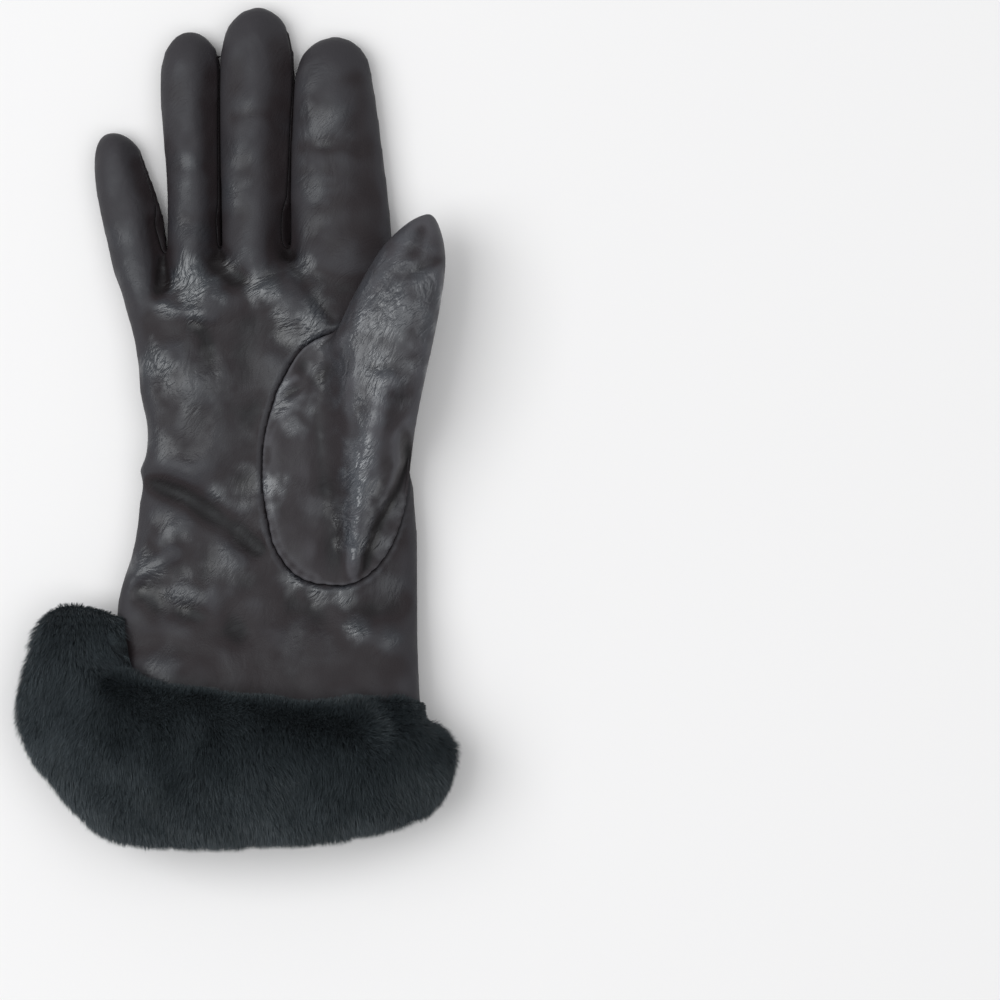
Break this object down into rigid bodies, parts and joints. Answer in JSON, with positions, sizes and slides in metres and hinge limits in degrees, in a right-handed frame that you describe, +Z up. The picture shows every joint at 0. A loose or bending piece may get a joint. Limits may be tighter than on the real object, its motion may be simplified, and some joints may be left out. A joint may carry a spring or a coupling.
{
  "type": "fur-trimmed leather glove",
  "caption": "Leather dress glove for a right hand, lying on its back with the palm up, with a set-in thumb, forked strips between the fingers and a deep fur cuff",
  "frame": {"origin": "the middle of the glove's outline on the surface that it lies on", "axes": "+X to the thumb's side, +Y from the cuff to the fingertips, +Z up out of the palm"},
  "size_m": [0.1492, 0.2792, 0.0456],
  "materials": {
    "leather": "smooth glove leather with a soft sheen and fine wrinkles, dark brown to charcoal",
    "fur": "deep soft fur, blue-black"
  },
  "bodies": {
    "root": {"trank": "leather", "thumb": "leather", "fourchette_index_middle": "leather", "fourchette_middle_ring": "leather", "fourchette_ring_little": "leather", "fur_cuff": "fur"}
  },
  "joints": []
}
